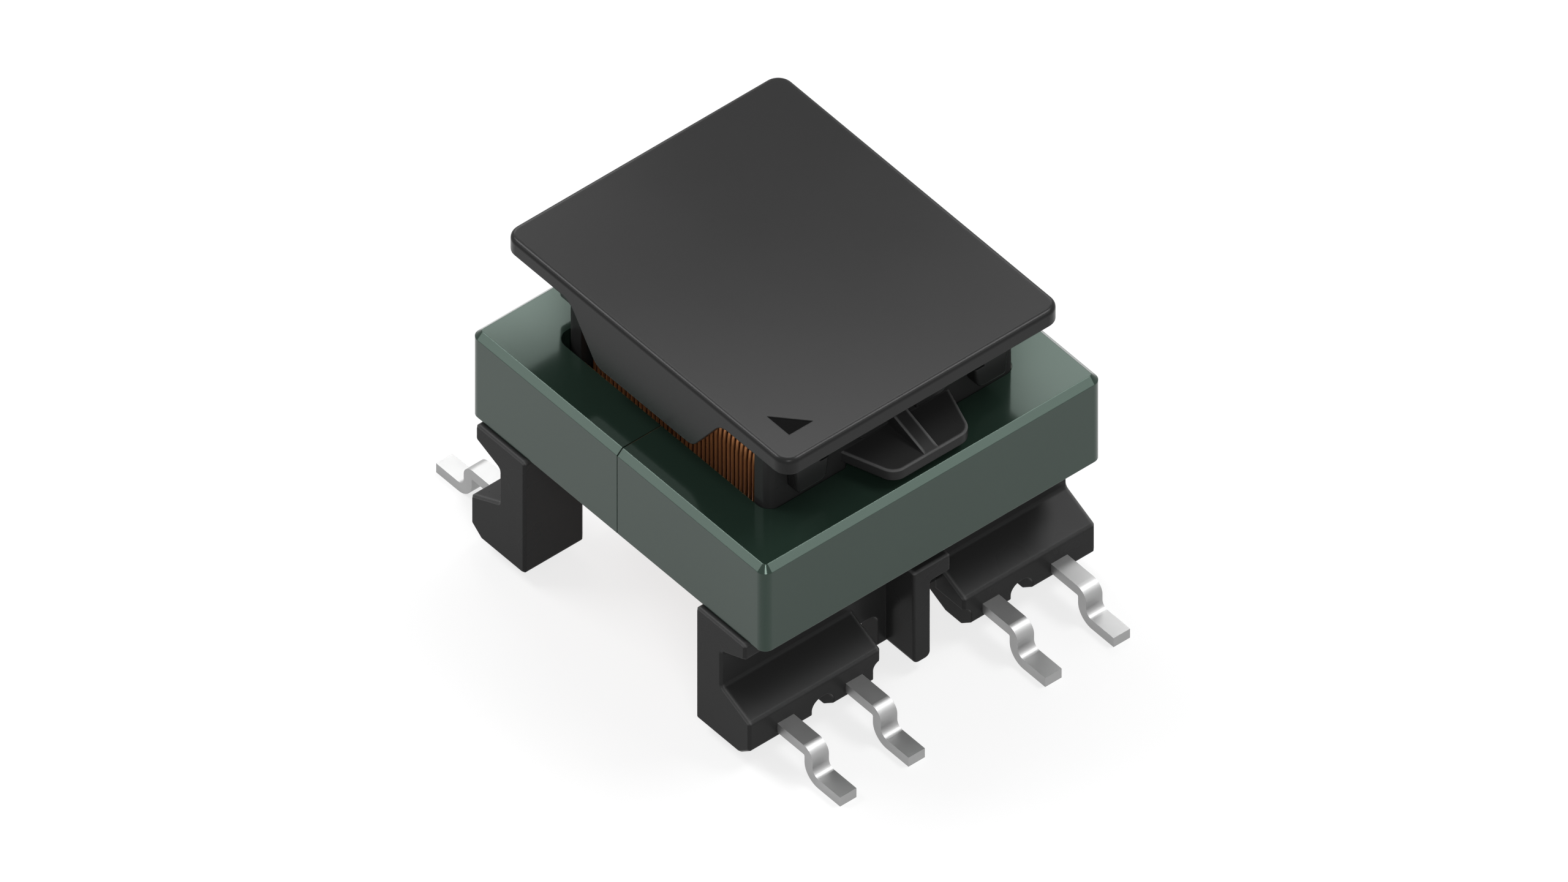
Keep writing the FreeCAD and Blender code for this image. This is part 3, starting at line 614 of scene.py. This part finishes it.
class TRANSFORMER_OT_windings(bpy.types.Operator):
    """Wind the outer layer of wire turn by turn, over the layers below it"""
    bl_idname = "transformer.windings"
    bl_label = "Wind Coil"

    def execute(self, context):
        finishes = context.scene.transformer_finish
        winding = context.scene.transformer_winding
        copper = finish(
            "enamelled_copper", finishes.copper_colour, scaled_colour(finishes.copper_colour, 0.7),
            {"Grain scale": 1500.0, "Patch scale": 700.0, "Smoothest": 0.24, "Roughest": 0.36},
            {"Patch scale": 300.0, "Speck scale": 2500.0, "Specks": 0.6},
            (0.05, 0.004 * MM), (8, 1, 1), Metallic=0.75, Coat_Weight=0.3, Coat_Roughness=0.12)
        low = np.array(WINDING_LOW)
        high = np.array(WINDING_HIGH)
        # Painted shade between the turns, full at the bottom of each cleft.
        paint_cleft_shade(copper, 0.45, 1.0)
        surface, faces, cleft = wound_wire(low, high, winding.corner_radius, winding.wire_diameter,
                                           winding.turns, winding.corner_steps, winding.wire_sides,
                                           winding.unevenness)
        turns = new_piece("outer_turns", surface, faces, copper)
        turns.data.attributes.new("Cleft", "FLOAT", "POINT").data.foreach_set("value", cleft)
        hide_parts("secondary_winding")
        sunk = winding.wire_diameter * LOWER_LAYER_DEPTH
        inset = np.array([0, sunk, sunk])
        thickness = TAPE_LOW.y - (low + inset)[1]
        surface, faces = ring_round_tube(low + inset, high - inset, thickness, winding.corner_radius - sunk,
                                         winding.corner_steps)
        # The lower layers show only between the turns; their copper at 6% and 3% is painted shade.
        dark, darker = (scaled_colour(finishes.copper_colour, factor) for factor in (0.06, 0.03))
        shade = finish(
            "copper_in_painted_shade", dark, darker,
            {"Grain scale": 1500.0, "Patch scale": 700.0, "Smoothest": 0.5, "Roughest": 0.7},
            {"Patch scale": 300.0, "Speck scale": 2500.0, "Specks": 0.6},
            (0.05, 0.004 * MM), (8, 1, 1), Specular_IOR_Level=0.1)
        new_piece("lower_layers", surface, faces, shade)
        tape = finish(
            "insulation_tape", finishes.tape_colour, scaled_colour(finishes.tape_colour, 0.8),
            {"Grain scale": 3000.0, "Patch scale": 600.0, "Smoothest": 0.15, "Roughest": 0.3},
            {"Patch scale": 500.0, "Speck scale": 5000.0, "Specks": 0.3}, (0.1, 0.01 * MM))
        set_material(["layer_tape"], tape)
        set_material(["primary_winding"], copper)
        return {"FINISHED"}


class TRANSFORMER_OT_leads(bpy.types.Operator):
    """Finish the leads and put a rounded drop of solder on each pin's inner end"""
    bl_idname = "transformer.leads"
    bl_label = "Finish Leads and Solder"

    def execute(self, context):
        finishes = context.scene.transformer_finish
        drop = context.scene.transformer_solder
        set_material(LEAD_NAMES, bpy.data.materials["enamelled_copper"])
        solder = finish(
            "solder", finishes.solder_colour, scaled_colour(finishes.solder_colour, 0.8),
            {"Grain scale": 7000.0, "Patch scale": 2500.0, "Smoothest": 0.18, "Roughest": 0.4},
            {"Patch scale": 2500.0, "Speck scale": 9000.0, "Specks": 0.4},
            (0.15, 0.006 * MM), Metallic=1.0)
        for name in JOINT_NAMES:
            low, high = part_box(name)
            surface, faces = solder_drop(np.array(low), np.array(high), drop.squareness, drop.ripple,
                                         drop.wraps)
            piece = new_piece(name.replace("joint", "drop"), surface, faces, solder)
            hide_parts(name)
        return {"FINISHED"}


class TRANSFORMER_OT_pins(bpy.types.Operator):
    """Finish the pins as bright tinned strip"""
    bl_idname = "transformer.pins"
    bl_label = "Finish Pins"

    def execute(self, context):
        colour = context.scene.transformer_finish.tin_colour
        tin = finish(
            "tinned_strip", colour, scaled_colour(colour, 0.85),
            {"Grain scale": 6000.0, "Patch scale": 900.0, "Smoothest": 0.42, "Roughest": 0.52},
            {"Patch scale": 1200.0, "Speck scale": 8000.0, "Specks": 0.3},
            (0.05, 0.004 * MM), Metallic=1.0)
        set_material(PIN_NAMES, tin)
        return {"FINISHED"}


class TRANSFORMER_OT_stage(bpy.types.Operator):
    """Lay the floor and set the lamps, the sky and the camera"""
    bl_idname = "transformer.stage"
    bl_label = "Set Stage"

    def execute(self, context):
        stage = context.scene.transformer_stage
        self.floor(stage)
        self.sky(context, stage)
        self.lamps(context, stage)
        self.camera(context, stage)
        context.scene.view_settings.view_transform = "Standard"
        return {"FINISHED"}

    def seen_rays(self, tree):
        """1 for rays from the camera, in a reflection or through glass, else 0."""
        path = tree.nodes.new("ShaderNodeLightPath")
        found = path.outputs["Is Camera Ray"]
        for label in ("Is Glossy Ray", "Is Transmission Ray"):
            larger = tree.nodes.new("ShaderNodeMath")
            larger.operation = "MAXIMUM"
            tree.links.new(found, larger.inputs[0])
            tree.links.new(path.outputs[label], larger.inputs[1])
            found = larger.outputs["Value"]
        return found

    def floor(self, stage):
        """Plain square floor under the feet, partly plain white where it is seen."""
        half = stage.floor_half
        corners = [(-half, -half, 0), (half, -half, 0), (half, half, 0), (-half, half, 0)]
        mesh = bpy.data.meshes.new("floor")
        mesh.from_pydata(corners, [], [(0, 1, 2, 3)])
        material = bpy.data.materials.new("floor_paint")
        material.use_nodes = True
        tree = material.node_tree
        paint = tree.nodes["Principled BSDF"]
        paint.inputs["Base Color"].default_value = tuple(stage.floor_colour)
        paint.inputs["Roughness"].default_value = FLOOR_ROUGHNESS
        paint.inputs["Specular IOR Level"].default_value = 0.0
        glow = tree.nodes.new("ShaderNodeEmission")
        glow.inputs["Strength"].default_value = 1.0
        share = tree.nodes.new("ShaderNodeMath")
        share.operation = "MULTIPLY"
        tree.links.new(self.seen_rays(tree), share.inputs[0])
        share.inputs[1].default_value = stage.backdrop_glow
        mix = tree.nodes.new("ShaderNodeMixShader")
        tree.links.new(share.outputs["Value"], mix.inputs["Fac"])
        tree.links.new(paint.outputs["BSDF"], mix.inputs[1])
        tree.links.new(glow.outputs["Emission"], mix.inputs[2])
        tree.links.new(mix.outputs["Shader"], tree.nodes["Material Output"].inputs["Surface"])
        mesh.materials.append(material)
        floor = bpy.data.objects.new("floor", mesh)
        bpy.context.scene.collection.objects.link(floor)

    def sky(self, context, stage):
        """Even grey light from all round, white where it is seen."""
        world = bpy.data.worlds.new("studio")
        world.use_nodes = True
        context.scene.world = world
        tree = world.node_tree
        background = tree.nodes["Background"]
        background.inputs["Color"].default_value = (1.0, 1.0, 1.0, 1.0)
        level = mapped(tree, self.seen_rays(tree), 0.0, 1.0, stage.sky_level, 1.0)
        tree.links.new(level, background.inputs["Strength"])

    def lamps(self, context, stage):
        """Soft area lamps that face the middle of the part."""
        for settings in stage.lamps:
            lamp = bpy.data.lights.new(settings.name, "AREA")
            lamp.shape = "RECTANGLE"
            lamp.size = settings.width
            lamp.size_y = settings.height
            lamp.energy = settings.brightness * math.pi * settings.width * settings.height
            way = Vector(settings.direction).normalized()
            turn = way.to_track_quat("Z", "Y")
            place = bpy.data.objects.new(settings.name, lamp)
            place.location = way * settings.distance + turn @ Vector((settings.shift, settings.lift, 0))
            place.rotation_euler = turn.to_euler()
            place.visible_camera = False
            context.scene.collection.objects.link(place)

    def camera(self, context, stage):
        """Camera without perspective, at the picture's viewing angle."""
        level = Vector((math.sin(stage.azimuth), -math.cos(stage.azimuth), 0)) * math.cos(stage.elevation)
        way = level + Vector((0, 0, math.sin(stage.elevation)))
        right = Vector((math.cos(stage.azimuth), math.sin(stage.azimuth), 0))
        up = way.cross(right)
        lens = bpy.data.cameras.new("camera")
        lens.type = "ORTHO"
        lens.ortho_scale = stage.frame_width
        lens.clip_start = 0.001
        camera = bpy.data.objects.new("camera", lens)
        camera.location = right * stage.centre_right + up * stage.centre_up + way * stage.camera_distance
        camera.rotation_euler = way.to_track_quat("Z", "Y").to_euler()
        context.scene.collection.objects.link(camera)
        context.scene.camera = camera


class TRANSFORMER_PT_panel(bpy.types.Panel):
    """Settings and steps of the transformer"""
    bl_label = "Board Transformer"
    bl_idname = "TRANSFORMER_PT_panel"
    bl_space_type = "VIEW_3D"
    bl_region_type = "UI"
    bl_category = "Transformer"

    def draw(self, context):
        column = self.layout.column()
        for step in STEPS:
            column.operator(step.bl_idname)
        for label in SETTINGS:
            settings = getattr(context.scene, label)
            box = self.layout.box()
            box.label(text=label.replace("_", " ").capitalize())
            for name in settings.bl_rna.properties.keys():
                if name not in ("rna_type", "name", "lamps"):
                    box.prop(settings, name)


STEPS = (
    TRANSFORMER_OT_effects, TRANSFORMER_OT_former, TRANSFORMER_OT_cap, TRANSFORMER_OT_core,
    TRANSFORMER_OT_windings, TRANSFORMER_OT_leads, TRANSFORMER_OT_pins, TRANSFORMER_OT_stage,
)
SETTINGS = {
    "transformer_winding": WindingSettings,
    "transformer_solder": SolderSettings,
    "transformer_mark": MarkSettings,
    "transformer_finish": FinishSettings,
    "transformer_stage": StageSettings,
}
# Name, direction, shift, lift, distance, width and height in millimetres, and brightness
LAMPS = (
    ("behind_cap", (-0.551, 0.462, 0.695), 0.0, 20.5, 45.0, 20.0, 18.0, 6.1),
    ("behind_left", (-0.551, 0.462, 0.695), 15.0, -1.5, 45.0, 18.0, 14.0, 5.2),
    ("behind_right", (-0.551, 0.462, 0.695), -15.2, 1.0, 45.0, 17.6, 14.0, 4.2),
    ("above_left", (-0.551, -0.30, 0.78), 0.0, 0.0, 280.0, 120.0, 70.0, 15.0),
    ("above_right", (0.25, 0.462, 0.85), 0.0, 0.0, 280.0, 120.0, 70.0, 15.0),
    ("left_edge", (-0.551, -0.694, 0.462), 0.0, 0.0, 280.0, 60.0, 60.0, 3.4),
    ("right_edge", (0.695, 0.462, 0.551), 0.0, 0.0, 280.0, 60.0, 60.0, 3.6),
    ("right_fill", (0.62, -0.42, 0.66), 0.0, 0.0, 280.0, 80.0, 80.0, 12.0),
)


def register():
    for settings in (LampSettings, *SETTINGS.values()):
        bpy.utils.register_class(settings)
    for label, settings in SETTINGS.items():
        setattr(bpy.types.Scene, label, PointerProperty(type=settings))
    for step in STEPS + (TRANSFORMER_PT_panel,):
        bpy.utils.register_class(step)


def unregister():
    for step in reversed(STEPS + (TRANSFORMER_PT_panel,)):
        bpy.utils.unregister_class(step)
    for label in SETTINGS:
        delattr(bpy.types.Scene, label)
    for settings in reversed((LampSettings, *SETTINGS.values())):
        bpy.utils.unregister_class(settings)


def main():
    register()
    lamps = bpy.context.scene.transformer_stage.lamps
    for name, direction, shift, lift, distance, width, height, brightness in LAMPS:
        lamp = lamps.add()
        lamp.name = name
        lamp.direction = direction
        lamp.shift = shift * MM
        lamp.lift = lift * MM
        lamp.distance = distance * MM
        lamp.width = width * MM
        lamp.height = height * MM
        lamp.brightness = brightness
    bpy.ops.transformer.effects()
    bpy.ops.transformer.former()
    bpy.ops.transformer.cap()
    bpy.ops.transformer.core()
    bpy.ops.transformer.windings()
    bpy.ops.transformer.leads()
    bpy.ops.transformer.pins()
    bpy.ops.transformer.stage()


if __name__ == "__main__":
    main()
